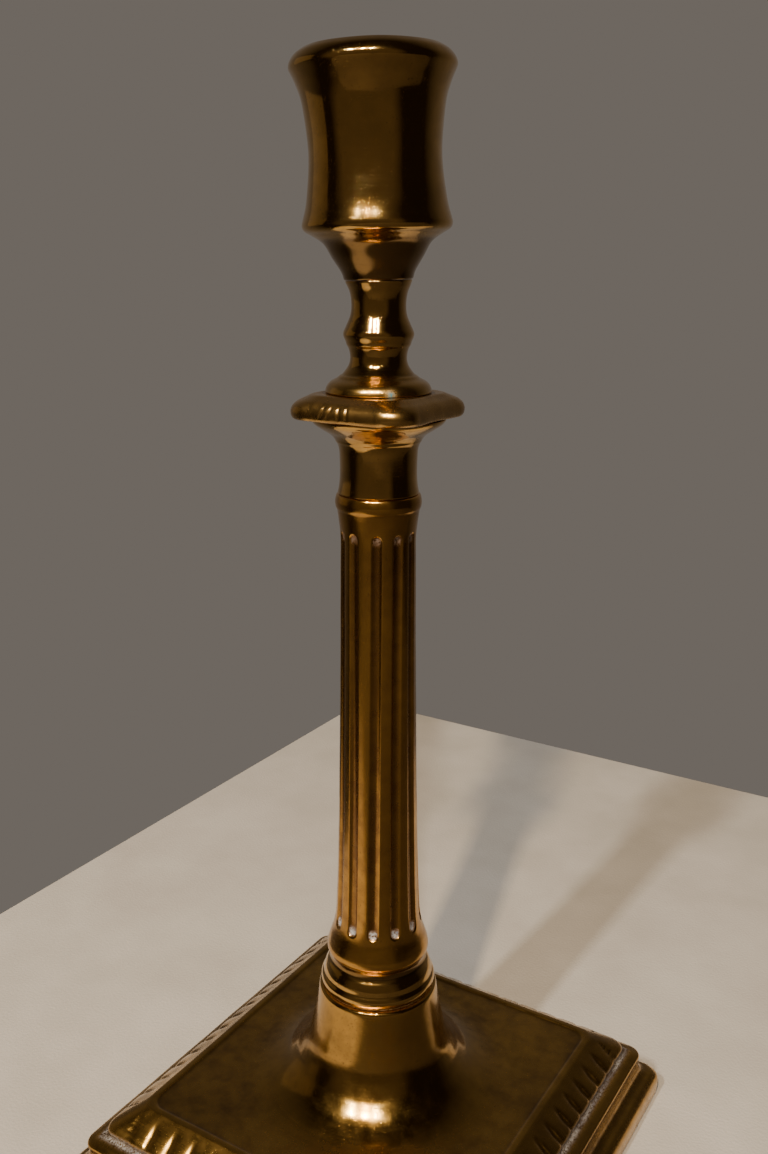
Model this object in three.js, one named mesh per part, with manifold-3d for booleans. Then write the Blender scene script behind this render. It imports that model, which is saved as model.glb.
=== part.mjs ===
// Brass candlestick: a fluted column on a square foot, with a turned candle socket.
// Millimetres, +Z up. The origin is the centre of the face that the foot rests on, and the
// square foot's sides run along X and Y. Every piece is stacked on one iron tie rod.

import * as THREE from "three";
import { mergeVertices } from "three/addons/utils/BufferGeometryUtils.js";
import Module from "manifold-3d";

const wasm = await Module();
wasm.setup();

// ---- Driving dimensions ---------------------------------------------------------------

const TURNED_FACETS = 32; // sides of a revolved piece
const CORNER_FACETS = 6; // sides of one rounded corner of a square piece
const CURVE_STEPS = 3; // steps along a single curve of an outline
const SMOOTH_STEPS = 1.3; // steps for each point of a smooth stretch of an outline

// Heights of the joints between the stacked pieces.
const SOCKET_TOP = 259.2;
const SOCKET_BASE = 214.8;
const NECK_BASE = 191.8;
const PAN_BASE = 186.5;
const SHAFT_TOP = 170;
const SHAFT_BASE = 57.2;
const FOOT_TOP = 47.6;
const JOINT_GAP = 0.1; // hairline left between two stacked pieces

// The socket leans a little on its screw, as old screwed sockets do.
const SOCKET_LEAN = 1.65; // degrees from upright
const SOCKET_LEAN_TOWARDS = 211.8; // degrees from +X, seen from above
const LEAN_GAP = 0.3; // hairline under the leaning socket

// Candle socket.
const RIM_RADIUS = 16.9;
const WAIST_RADIUS = 13.55;
const BOWL_RADIUS = 15.6;
const CANDLE_BORE_RADIUS = 11;
const CANDLE_SEAT = 224.5;

// Drip pan: half of its square side, and the radius of its corners.
const PAN_HALF = 15.2;
const PAN_CORNER = 6;

// Column.
const SHAFT_TOP_RADIUS = 8.42;
const SHAFT_FOOT_RADIUS = 12.35;
const SHAFT_BORE_RADIUS = 5.6;
const FLUTES = 12;
const FLUTE_PHASE = 27; // degrees from +X to the first flute
const FLUTE_LOW = 65.8; // height of the lower end's centre
const FLUTE_HIGH = 160.9; // height of the upper end's centre
const FLUTE_CUTTER = 1.4; // radius of the tool that cuts a flute
const FLUTE_OFFSET = 0.8; // distance from the shaft's surface out to the tool's centre

// Foot: half sides of the square mouldings, from the flat plate out to the plinth.
const PLATE_TOP = 21;
const PLATE_HALF = 40.4;
const BORDER_HALF = 48.6;
const PLINTH_HALF = 56.5;
const FOOT_CORNER = 3.5; // corner radius of the mouldings
const FOOT_WALL = 3.5;
const BELL_TOP_RADIUS = 14.4;
const BELL_FOOT_RADIUS = 34; // where the bell's sweep meets the flat plate
const BELL_CEILING = 42;
const GADROONS = 14; // lobes along each side of the border
const GADROON_PITCH = 5.8;

// Fastening.
const ROD_RADIUS = 3;
const ROD_LOW = 31.5;
const ROD_HIGH = 200.5;
const ROD_HOLE = 3.3;
const THREAD_HOLE = 3.1;
const SPIGOT_RADIUS = 5.2;
const SPIGOT_HOLE = 5.5;
const WASHER_RADIUS = 8.6;
const WASHER_THICK = 1.6;
const NUT_SIDE = 10;
const NUT_THICK = 5;
const SCREW_RADIUS = 2.5;
const SCREW_HEAD_RADIUS = 4.25;
const SCREW_HEAD_THICK = 3.2;
const SCREW_LOW = 207;
const SCREW_HOLE = 2.7;

// ---- Materials ------------------------------------------------------------------------

function metal(color, roughness) {
  return new THREE.MeshStandardMaterial({ color, roughness, metalness: 1 });
}

const polishedBrass = metal(0xb08d3c, 0.24);
const warmBrass = metal(0xa67c33, 0.28);
const agedBrass = metal(0x8a6a2a, 0.38);
const darkIron = metal(0x4a443e, 0.6);
const paleSteel = metal(0x8d8a84, 0.45);

// ---- Solids ---------------------------------------------------------------------------

function toManifold(geometry) {
  const bare = geometry.clone();
  bare.deleteAttribute("normal");
  bare.deleteAttribute("uv");
  const merged = mergeVertices(bare, 1e-4);
  const vertProperties = new Float32Array(merged.attributes.position.array);
  const triVerts = new Uint32Array(merged.index.array);
  return new wasm.Manifold(new wasm.Mesh({ numProp: 3, vertProperties, triVerts }));
}

function toGeometry(solid) {
  const mesh = solid.getMesh();
  const geometry = new THREE.BufferGeometry();
  geometry.setAttribute("position", new THREE.BufferAttribute(mesh.vertProperties, 3));
  geometry.setIndex(new THREE.BufferAttribute(mesh.triVerts, 1));
  geometry.computeVertexNormals();
  return geometry;
}

/** Revolves an outline of (radius, height) about Z. */
function turned(outline, facets = TURNED_FACETS) {
  const lathe = new THREE.LatheGeometry(outline.getPoints(CURVE_STEPS), facets);
  lathe.rotateX(Math.PI / 2);
  return toManifold(lathe);
}

/** Sweeps an outline of (half side, height) round a square whose corners are rounded. */
function squareTurned(outline, cornerRadius) {
  const columns = 4 * CORNER_FACETS;
  const halfStep = Math.PI / columns;
  const lathe = new THREE.LatheGeometry(outline.getPoints(CURVE_STEPS), columns, halfStep);
  lathe.rotateX(Math.PI / 2);
  const position = lathe.attributes.position;
  for (let i = 0; i < position.count; i += 1) {
    const x = position.getX(i);
    const y = position.getY(i);
    const half = Math.hypot(x, y);
    const corner = Math.min(cornerRadius, half);
    const reach = corner / (half * Math.cos(halfStep) || 1);
    const inset = half - corner;
    position.setXY(i, Math.sign(x) * inset + x * reach, Math.sign(y) * inset + y * reach);
  }
  return toManifold(lathe);
}

/** Closed outline of straight lines, given as [radius, height] pairs. */
function polygon(points) {
  const outline = new THREE.Path();
  outline.moveTo(points[0][0], points[0][1]);
  for (const [radius, height] of points.slice(1)) {
    outline.lineTo(radius, height);
  }
  outline.lineTo(points[0][0], points[0][1]);
  return outline;
}

/** Smooth stretch of an outline from where it is through [radius, height] pairs. */
function smooth(outline, points) {
  const through = points.map(([radius, height]) => new THREE.Vector2(radius, height));
  const curve = new THREE.SplineCurve([outline.currentPoint.clone(), ...through]);
  const steps = Math.ceil(SMOOTH_STEPS * through.length);
  for (const point of curve.getPoints(steps).slice(1)) {
    outline.lineTo(point.x, point.y);
  }
}

function ring(innerRadius, outerRadius, low, high, facets = TURNED_FACETS) {
  const corners = [
    [innerRadius, low],
    [outerRadius, low],
    [outerRadius, high],
    [innerRadius, high],
  ];
  return turned(polygon(corners), facets);
}

function disc(radius, low, high, facets = TURNED_FACETS) {
  return ring(0, radius, low, high, facets);
}

function box(sizeX, sizeY, sizeZ, x, y, z) {
  const geometry = new THREE.BoxGeometry(sizeX, sizeY, sizeZ);
  geometry.translate(x, y, z);
  return toManifold(geometry);
}

// ---- Candle socket and its screw ------------------------------------------------------

function candleSocket() {
  const counterbore = SCREW_HEAD_RADIUS + 0.55;
  const counterboreFloor = CANDLE_SEAT - SCREW_HEAD_THICK - 0.6;
  const screwHole = SCREW_RADIUS + 0.5;
  const low = SOCKET_BASE + LEAN_GAP;
  const outline = new THREE.Path();
  outline.moveTo(screwHole, low);
  outline.lineTo(7.2, low);
  smooth(outline, [
    [7.75, 216.8],
    [9.5, 219.6],
    [11.2, 222.5],
    [13.7, 224.2],
  ]);
  outline.quadraticCurveTo(BOWL_RADIUS - 0.1, 225, BOWL_RADIUS, 226.3);
  smooth(outline, [
    [14.4, 231.2],
    [WAIST_RADIUS, 239.8],
    [14.4, 248.6],
    [15.6, 252.8],
    [RIM_RADIUS, 255.7],
  ]);
  outline.quadraticCurveTo(RIM_RADIUS, 257.2, 14.2, SOCKET_TOP);
  outline.lineTo(CANDLE_BORE_RADIUS + 0.6, SOCKET_TOP);
  outline.lineTo(CANDLE_BORE_RADIUS, SOCKET_TOP - 0.6);
  outline.lineTo(CANDLE_BORE_RADIUS, CANDLE_SEAT);
  outline.lineTo(counterbore, CANDLE_SEAT);
  outline.lineTo(counterbore, counterboreFloor);
  outline.lineTo(screwHole, counterboreFloor);
  outline.lineTo(screwHole, low);
  return turned(outline);
}

function socketScrew() {
  const headTop = CANDLE_SEAT - 0.3;
  const headBase = headTop - SCREW_HEAD_THICK;
  const slotWidth = 1.2;
  const slotDepth = 1.4;
  const body = turned(
    polygon([
      [0, SCREW_LOW],
      [SCREW_RADIUS - 0.6, SCREW_LOW],
      [SCREW_RADIUS, SCREW_LOW + 0.6],
      [SCREW_RADIUS, headBase],
      [SCREW_HEAD_RADIUS, headBase],
      [SCREW_HEAD_RADIUS, headTop - 0.4],
      [SCREW_HEAD_RADIUS - 0.4, headTop],
      [0, headTop],
    ]),
    24,
  );
  const slot = box(3 * SCREW_HEAD_RADIUS, slotWidth, 2 * slotDepth, 0, 0, headTop);
  return body.subtract(slot);
}

// ---- Neck, with its knop and the dome that covers the drip pan --------------------------

function knopNeck() {
  const rodHoleTop = ROD_HIGH + 1;
  const screwHoleBase = SCREW_LOW - 1;
  const outline = new THREE.Path();
  outline.moveTo(0, rodHoleTop);
  outline.lineTo(THREAD_HOLE, rodHoleTop);
  outline.lineTo(THREAD_HOLE, NECK_BASE + JOINT_GAP);
  outline.lineTo(11.4, NECK_BASE + JOINT_GAP);
  outline.quadraticCurveTo(10.8, 194.1, 8.7, 195);
  outline.lineTo(8.2, 195.5);
  outline.lineTo(7.7, 195.7);
  smooth(outline, [
    [6.35, 197.6],
    [6, 199.3],
    [6.3, 201],
    [6.8, 201.9],
  ]);
  outline.lineTo(6.9, 202.4);
  smooth(outline, [
    [7.5, 204.1],
    [6.8, 205.9],
    [5.95, 208],
    [5.74, 210.2],
    [6.1, 212.7],
    [7.1, SOCKET_BASE],
  ]);
  outline.lineTo(SCREW_HOLE, SOCKET_BASE);
  outline.lineTo(SCREW_HOLE, screwHoleBase);
  outline.lineTo(0, screwHoleBase);
  return turned(outline);
}

// ---- Square drip pan -------------------------------------------------------------------

function dripPan() {
  const outline = new THREE.Path();
  outline.moveTo(0, PAN_BASE + JOINT_GAP);
  outline.lineTo(PAN_HALF - 1.1, PAN_BASE + JOINT_GAP);
  smooth(outline, [
    [PAN_HALF - 0.3, 187.4],
    [PAN_HALF, 188.5],
    [PAN_HALF - 0.3, 189.6],
    [PAN_HALF - 1.1, 190.5],
    [PAN_HALF - 2.3, 191.2],
  ]);
  outline.lineTo(11.9, NECK_BASE);
  outline.lineTo(0, NECK_BASE);
  const slab = squareTurned(outline, PAN_CORNER);
  return slab.subtract(disc(SPIGOT_HOLE, PAN_BASE - 1, NECK_BASE + 1));
}

// ---- Capital: spigot, cup under the pan, necking, spigot into the shaft ------------------

function capital() {
  const topSpigot = 4;
  const lowSpigot = 5;
  const low = SHAFT_TOP + JOINT_GAP;
  const outline = new THREE.Path();
  outline.moveTo(ROD_HOLE, SHAFT_TOP - lowSpigot);
  outline.lineTo(SPIGOT_RADIUS, SHAFT_TOP - lowSpigot);
  outline.lineTo(SPIGOT_RADIUS, low);
  outline.lineTo(8.9, low);
  smooth(outline, [
    [8.55, 171.8],
    [8.36, 174.2],
    [8.4, 177.9],
    [8.55, 180],
    [8.95, 181.2],
  ]);
  outline.lineTo(9.3, 181.6);
  outline.lineTo(9.4, 182);
  smooth(outline, [
    [10.4, 183.1],
    [12.5, 184.4],
    [14, 185.5],
    [14.6, PAN_BASE],
  ]);
  outline.lineTo(SPIGOT_RADIUS, PAN_BASE);
  outline.lineTo(SPIGOT_RADIUS, PAN_BASE + topSpigot);
  outline.lineTo(ROD_HOLE, PAN_BASE + topSpigot);
  outline.lineTo(ROD_HOLE, SHAFT_TOP - lowSpigot);
  return turned(outline);
}

// ---- Fluted column -----------------------------------------------------------------------

/** Outside of the column from its foot up to the ring at its head. */
function shaftContour() {
  return [
    [SHAFT_FOOT_RADIUS - 0.1, 58.9],
    [11.7, 60.7],
    [10.85, 63.2],
    [10.35, 65.9],
    [10.05, 69],
    [9.62, 80],
    [9.12, 101],
    [8.68, 131],
    [SHAFT_TOP_RADIUS, 160.8],
  ];
}

/** One flute's tool: a round bar that follows the column's outside, with ball ends. */
function fluteCutter() {
  const contour = new THREE.SplineCurve(
    shaftContour().map(([radius, height]) => new THREE.Vector2(radius, height)),
  );
  const middle = contour
    .getPoints(18)
    .filter((point) => point.y > FLUTE_LOW + 1 && point.y < FLUTE_HIGH - 1)
    .map((point) => new THREE.Vector3(point.x + FLUTE_OFFSET, 0, point.y));
  const low = new THREE.Vector3(10.35 + FLUTE_OFFSET, 0, FLUTE_LOW);
  const high = new THREE.Vector3(SHAFT_TOP_RADIUS + FLUTE_OFFSET, 0, FLUTE_HIGH);
  const path = new THREE.CatmullRomCurve3([low, ...middle, high]);
  const section = new THREE.Shape();
  section.absarc(0, 0, FLUTE_CUTTER, 0, 2 * Math.PI);
  const bar = new THREE.ExtrudeGeometry(section, {
    extrudePath: path,
    steps: 6,
    curveSegments: 4,
  });
  const ballAt = (place) => {
    const ball = new THREE.SphereGeometry(FLUTE_CUTTER, 8, 4);
    ball.rotateX(Math.PI / 2);
    ball.translate(place.x, place.y, place.z);
    return toManifold(ball);
  };
  return toManifold(bar).add(ballAt(low)).add(ballAt(high));
}

function columnShaft() {
  const outline = new THREE.Path();
  outline.moveTo(SHAFT_BORE_RADIUS, SHAFT_BASE);
  outline.lineTo(SHAFT_FOOT_RADIUS - 0.2, SHAFT_BASE);
  outline.lineTo(SHAFT_FOOT_RADIUS, SHAFT_BASE + 0.5);
  smooth(outline, shaftContour());
  smooth(outline, [
    [8.8, 164.6],
    [9.1, 166.6],
  ]);
  outline.lineTo(9.4, 167.1);
  smooth(outline, [
    [9.55, 168.2],
    [9.4, 169.3],
  ]);
  outline.lineTo(9.2, SHAFT_TOP);
  outline.lineTo(SHAFT_BORE_RADIUS, SHAFT_TOP);
  outline.lineTo(SHAFT_BORE_RADIUS, SHAFT_BASE);
  let solid = turned(outline);
  const cutter = fluteCutter();
  for (let i = 0; i < FLUTES; i += 1) {
    const angle = FLUTE_PHASE + (360 * i) / FLUTES;
    solid = solid.subtract(cutter.rotate([0, 0, angle]));
  }
  return solid;
}

// ---- Collar between the column and the foot ----------------------------------------------

function shaftCollar() {
  const low = FOOT_TOP + JOINT_GAP;
  const high = SHAFT_BASE - JOINT_GAP;
  const spigot = 4;
  const outline = new THREE.Path();
  outline.moveTo(ROD_HOLE, FOOT_TOP - spigot);
  outline.lineTo(SPIGOT_RADIUS, FOOT_TOP - spigot);
  outline.lineTo(SPIGOT_RADIUS, low);
  outline.lineTo(13.2, low);
  smooth(outline, [
    [13.75, 48.3],
    [13.95, 49.2],
    [13.85, 50.1],
    [13.5, 50.8],
  ]);
  outline.lineTo(13.3, 51);
  smooth(outline, [
    [12.95, 52.5],
    [12.3, 53.9],
  ]);
  outline.lineTo(11.95, 54.3);
  smooth(outline, [
    [11.6, 55.1],
    [11.55, 56.2],
    [11.85, high],
  ]);
  outline.lineTo(SPIGOT_RADIUS, high);
  outline.lineTo(SPIGOT_RADIUS, high + spigot);
  outline.lineTo(ROD_HOLE, high + spigot);
  outline.lineTo(ROD_HOLE, FOOT_TOP - spigot);
  return turned(outline);
}

// ---- Foot: bell, plate, gadrooned border and plinth in one hollow casting -----------------

function bell() {
  const outline = new THREE.Path();
  outline.moveTo(0, PLATE_TOP - 1.5);
  outline.lineTo(BELL_FOOT_RADIUS, PLATE_TOP - 1.5);
  outline.lineTo(BELL_FOOT_RADIUS, PLATE_TOP);
  smooth(outline, [
    [30.8, 21.3],
    [27.4, 22.3],
    [23.4, 24.5],
    [20, 27.9],
    [17.5, 32.2],
    [16.2, 36.8],
    [15.2, 42],
    [BELL_TOP_RADIUS, FOOT_TOP - 0.3],
  ]);
  outline.lineTo(BELL_TOP_RADIUS - 0.3, FOOT_TOP);
  outline.lineTo(0, FOOT_TOP);
  return turned(outline);
}

function plinth() {
  const outline = new THREE.Path();
  outline.moveTo(0, 0);
  outline.lineTo(PLINTH_HALF - 0.7, 0);
  outline.lineTo(PLINTH_HALF - 0.2, 0.6);
  smooth(outline, [
    [PLINTH_HALF, 3.6],
    [PLINTH_HALF - 0.3, 5.6],
    [PLINTH_HALF - 1.5, 7],
  ]);
  outline.lineTo(PLINTH_HALF - 2.9, 7.4);
  smooth(outline, [
    [PLINTH_HALF - 4, 8.4],
    [BORDER_HALF + 3.4, 10.4],
    [BORDER_HALF + 3.3, 12],
  ]);
  outline.lineTo(BORDER_HALF + 3.6, 12.4);
  outline.lineTo(BORDER_HALF + 3.4, 13.2);
  outline.lineTo(BORDER_HALF + 1.9, 13.9);
  outline.lineTo(BORDER_HALF + 0.2, 14.2);
  outline.lineTo(BORDER_HALF - 0.5, 14.8);
  outline.lineTo(BORDER_HALF, 15.6);
  smooth(outline, [
    [BORDER_HALF - 0.6, 16.7],
    [BORDER_HALF - 3.4, 18.8],
    [PLATE_HALF + 1.2, PLATE_TOP + 0.3],
  ]);
  outline.lineTo(PLATE_HALF, PLATE_TOP + 0.4);
  outline.lineTo(PLATE_HALF - 0.7, PLATE_TOP);
  outline.lineTo(0, PLATE_TOP);
  return squareTurned(outline, FOOT_CORNER);
}

/** Hollow under the foot, following the outside at the wall's thickness. */
function footHollow() {
  const square = new THREE.Path();
  const ceiling = PLATE_TOP - FOOT_WALL;
  square.moveTo(0, -1);
  square.lineTo(PLINTH_HALF - 4, -1);
  square.lineTo(PLINTH_HALF - 4, 4.4);
  square.lineTo(BORDER_HALF - 0.2, 9);
  square.lineTo(BORDER_HALF - 3.3, 13.6);
  square.lineTo(PLATE_HALF, ceiling);
  square.lineTo(0, ceiling);
  const round = new THREE.Path();
  round.moveTo(0, PLATE_TOP - FOOT_WALL - 0.5);
  round.lineTo(31, PLATE_TOP - FOOT_WALL - 0.5);
  round.lineTo(31, PLATE_TOP - FOOT_WALL);
  smooth(round, [
    [24.6, 19.1],
    [19.4, 22.6],
    [15.4, 28.2],
    [12.9, 35.6],
    [11.4, BELL_CEILING],
  ]);
  round.lineTo(0, BELL_CEILING);
  return squareTurned(square, 4).add(turned(round));
}

/** The grooves that part the border's lobes, along all four sides. */
function gadroonGrooves() {
  const drop = 4.4;
  const run = BORDER_HALF - PLATE_HALF - 1;
  const length = Math.hypot(run, drop);
  const grooves = [];
  for (let i = 0; i < GADROONS - 1; i += 1) {
    const groove = new THREE.CylinderGeometry(0.9, 0.9, length, 4);
    groove.rotateZ(-Math.PI / 2);
    groove.rotateY(Math.atan2(drop, run));
    const along = (i - (GADROONS - 2) / 2) * GADROON_PITCH;
    groove.translate(BORDER_HALF - run / 2 + 0.55, along, PLATE_TOP - drop / 2 + 0.35);
    const solid = toManifold(groove);
    for (let side = 0; side < 4; side += 1) {
      grooves.push(solid.rotate([0, 0, 90 * side]));
    }
  }
  return grooves;
}

function foot() {
  let solid = bell().add(plinth());
  solid = solid.subtract(footHollow());
  solid = solid.subtract(disc(SPIGOT_HOLE, BELL_CEILING - 1, FOOT_TOP + 1));
  for (const groove of gadroonGrooves()) {
    solid = solid.subtract(groove);
  }
  return solid;
}

// ---- Tie rod, washer and nut --------------------------------------------------------------

function tieRod() {
  const chamfer = 0.7;
  return turned(
    polygon([
      [0, ROD_LOW],
      [ROD_RADIUS - chamfer, ROD_LOW],
      [ROD_RADIUS, ROD_LOW + chamfer],
      [ROD_RADIUS, ROD_HIGH - chamfer],
      [ROD_RADIUS - chamfer, ROD_HIGH],
      [0, ROD_HIGH],
    ]),
    24,
  );
}

const washerTop = BELL_CEILING - JOINT_GAP;
const nutTop = washerTop - WASHER_THICK - JOINT_GAP;

function footWasher() {
  return ring(ROD_HOLE, WASHER_RADIUS, washerTop - WASHER_THICK, washerTop, 32);
}

function footNut() {
  const cornerChamfer = disc(NUT_SIDE * 0.64, nutTop - NUT_THICK, nutTop, 32);
  const block = box(NUT_SIDE, NUT_SIDE, NUT_THICK, 0, 0, nutTop - NUT_THICK / 2);
  const thread = disc(THREAD_HOLE, nutTop - NUT_THICK - 1, nutTop + 1, 24);
  return block.intersect(cornerChamfer).subtract(thread);
}

// ---- Assembly -----------------------------------------------------------------------------

const candlestick = new THREE.Group();

/** Group that leans about the centre of the joint under the socket. */
function leaningGroup() {
  const towards = THREE.MathUtils.degToRad(SOCKET_LEAN_TOWARDS);
  const hinge = new THREE.Vector3(-Math.sin(towards), Math.cos(towards), 0);
  const lean = new THREE.Group();
  lean.position.z = SOCKET_BASE;
  lean.setRotationFromAxisAngle(hinge, THREE.MathUtils.degToRad(SOCKET_LEAN));
  candlestick.add(lean);
  return lean;
}

function place(name, solid, material, parent = candlestick) {
  const mesh = new THREE.Mesh(toGeometry(solid), material.clone());
  mesh.name = name;
  mesh.position.z = -parent.position.z;
  parent.add(mesh);
}

place("candle_socket", candleSocket(), polishedBrass, leaningGroup());
place("socket_screw", socketScrew(), paleSteel);
place("knop_neck", knopNeck(), polishedBrass);
place("drip_pan", dripPan(), agedBrass);
place("capital", capital(), warmBrass);
place("column_shaft", columnShaft(), warmBrass);
place("shaft_collar", shaftCollar(), polishedBrass);
place("foot", foot(), agedBrass);
place("tie_rod", tieRod(), darkIron);
place("foot_washer", footWasher(), darkIron);
place("foot_nut", footNut(), darkIron);

export default candlestick;
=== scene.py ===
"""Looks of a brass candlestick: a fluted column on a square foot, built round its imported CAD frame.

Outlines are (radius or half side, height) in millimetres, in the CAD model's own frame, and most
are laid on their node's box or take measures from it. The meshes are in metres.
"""

import math

import bpy
import numpy as np
from mathutils import Matrix, Vector, noise


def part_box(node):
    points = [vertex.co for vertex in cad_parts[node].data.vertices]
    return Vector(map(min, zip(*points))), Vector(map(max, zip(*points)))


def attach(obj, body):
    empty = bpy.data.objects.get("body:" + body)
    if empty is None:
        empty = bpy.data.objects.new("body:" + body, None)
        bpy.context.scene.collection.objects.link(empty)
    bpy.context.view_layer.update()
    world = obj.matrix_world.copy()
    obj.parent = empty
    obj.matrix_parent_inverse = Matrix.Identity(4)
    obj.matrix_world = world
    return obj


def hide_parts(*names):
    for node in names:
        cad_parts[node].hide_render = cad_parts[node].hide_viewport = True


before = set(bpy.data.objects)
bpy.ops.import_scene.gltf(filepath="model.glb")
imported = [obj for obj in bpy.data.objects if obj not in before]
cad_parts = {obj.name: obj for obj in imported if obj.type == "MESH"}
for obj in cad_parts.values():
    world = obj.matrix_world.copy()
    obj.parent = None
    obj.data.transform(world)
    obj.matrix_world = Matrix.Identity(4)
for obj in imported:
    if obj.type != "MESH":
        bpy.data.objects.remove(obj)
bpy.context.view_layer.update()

MM = 0.001

# ---- Measures, in millimetres -----------------------------------------------------------

STEP = 0.25  # distance between two points of an outline where it curves
COLUMNS = 216  # columns round a turned piece
SOFT_PASSES = 2  # how far worn edges are rounded
CAVITY_REACH = 6  # how many points away the sides of a hollow are looked for

BORE = 11.0  # radius of the candle's bore
CANDLE_SEAT = 224.5
SCREW_HEAD = 4.25
SCREW_HEAD_THICK = 3.2
SLOT_WIDTH = 1.2
SLOT_DEPTH = 1.4
SCREW_RADIUS = 2.5
SCREW_LOW = 207.0
RIM_HEIGHT = 256.2  # height of the socket's widest circle

SPIGOT = 5.2  # radius of the spigots that centre one piece in the next
SPIGOT_HOLE = 5.5
ROD_HOLE = 3.3
THREAD_HOLE = 3.1
SHAFT_BORE = 5.6

PAN_CORNER = 6.0
NICKS = [(-4.5, 0.5), (-2.7, 0.45), (-0.4, 0.05), (1.6, 0.0)]  # place along the rim, and slant
NICK_DEPTH = 0.2
NICK_WIDTH = 0.26
VERDIGRIS = (8.0, -8.0, 192.4)  # centre of a green spot where the neck's dome meets the pan
VERDIGRIS_SIZE = 0.9
DOME_SEAM = 11.7  # radius of the dark line round the dome, on the pan
LEAN_SEAM = 0.24  # how far the neck rises to meet the leaning socket

FLUTES = 12
FLUTE_PHASE = 27.0  # degrees from +X to the first flute
FLUTE_LOW = 65.8  # height of the centre of a flute's lower end
FLUTE_HIGH = 160.9
FLUTE_TOOLS = (1.65, 1.35)  # radius of the tool that cut the flutes, at their foot and head
FLUTE_DEPTH = 0.68
FLUTE_EDGE = 0.07  # how far a flute's edges are rounded
FLUTE_BAND = 1.5  # half the width of the band of close columns that follows each flute
FLUTE_COLUMNS = 17  # columns in that band
LAND_COLUMNS = 8  # columns between two bands
NO_FLUTE = 9.0  # distance from a flute's middle where no tool reaches
# The flutes were cut by eye: degrees that each one strays at its foot and at its head. The last
# four are on the camera's side.
STRAY_FOOT = [0.4, -0.6, 0.8, 0.2, -0.9, 0.5, -0.3, -1.0, -1.7, -1.7, -1.2, -0.2]
STRAY_HEAD = [3.7, 2.6, 1.5, 0.4, -0.7, -1.8, -2.9, -4.0, -5.1, 2.7, 5.7, 4.8]
SHAFT_HEIGHTS = [57, 63.2, 69, 80, 161]
SHAFT_RADII = [12.3, 10.85, 10.05, 9.62, 8.42]  # about what the column measures at these heights

PLATE_TOP = 21.0
PLATE_HALF = 40.4
BORDER_HALF = 48.6
PLINTH_HALF = 56.5
FOOT_CORNER = 3.5
LOBES = 14  # gadroons along each side
LOBE_PITCH = 5.8
LOBE_HEIGHT = 0.8
LOBE_SINK = 0.85  # how far the whole border sinks under its lobes, as a share of LOBE_HEIGHT
LOBE_END = 0.62  # how far across the border the lobes start to round off

THREAD_PITCH = 0.9
THREAD_DEPTH = 0.35


# ---- Outlines ---------------------------------------------------------------------------


def spline(knots, step):
    """Points about `step` apart on the smooth curve through the knots, without the first."""
    ends = [2 * knots[0] - knots[1], *knots, 2 * knots[-1] - knots[-2]]
    made = []
    for before, start, end, after in zip(ends, ends[1:], ends[2:], ends[3:]):
        count = max(1, math.ceil(np.linalg.norm(end - start) / step))
        for t in np.arange(1, count + 1) / count:
            cubic = 3 * start - before - 3 * end + after
            square = 2 * before - 5 * start + 4 * end - after
            made.append(start + ((end - before) * t + square * t**2 + cubic * t**3) / 2)
    return made


def curve(*points, step=STEP):
    """A smooth stretch of an outline, from where it is through the points."""
    return lambda start: spline([start, *(np.array(p, float) for p in points)], step)


def line(*point):
    """A straight stretch, with points close together only near its ends, which get rounded."""

    def made(start):
        end = np.array(point, float)
        length = np.linalg.norm(end - start)
        near = [STEP, 2 * STEP, 3 * STEP]
        if length < 8 * STEP:
            count = max(1, math.ceil(length / STEP))
            places = [length * i / count for i in range(1, count + 1)]
        else:
            places = [*near, *(length - d for d in reversed(near)), length]
        return [start + (end - start) * place / length for place in places]

    return made


def trace(start, *stretches, passes=SOFT_PASSES):
    """Points of a closed outline, or of one that starts and ends on the axis."""
    path = [np.array(start, float)]
    for stretch in stretches:
        path += stretch(path[-1])
    path = np.array(path)
    closed = np.allclose(path[0], path[-1])
    if closed:
        path = path[:-1]
    for _ in range(passes):
        softer = (np.roll(path, 1, 0) + 2 * path + np.roll(path, -1, 0)) / 4
        if not closed:
            softer[0], softer[-1] = path[0], path[-1]
        path = softer
    return path


def lay_on(path, node):
    """The outline with its height and its greatest radius set to those of the node's box."""
    low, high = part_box(node)
    path = path.copy()
    span = np.ptp(path[:, 1]) * MM
    path[:, 1] = low.z / MM + (path[:, 1] - path[:, 1].min()) * (high.z - low.z) / span
    path[:, 0] *= (high.x - low.x) / 2 / MM / path[:, 0].max()
    return path


# ---- Rings of points --------------------------------------------------------------------


def even_angles(columns=COLUMNS):
    return np.arange(columns) * 2 * math.pi / columns


def revolve(path, angles):
    """Rings of points in mm: one ring for each point of the path, one column for each angle."""
    radius, height = path[:, :1], path[:, 1:]
    across = np.cos(angles) * radius
    along = np.sin(angles) * radius
    return np.stack([across, along, height + 0 * across], -1)


RUN_POINTS = 8  # points of a rounded square between the middle of a side and a corner
BEND_POINTS = 10  # points round a corner


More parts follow.
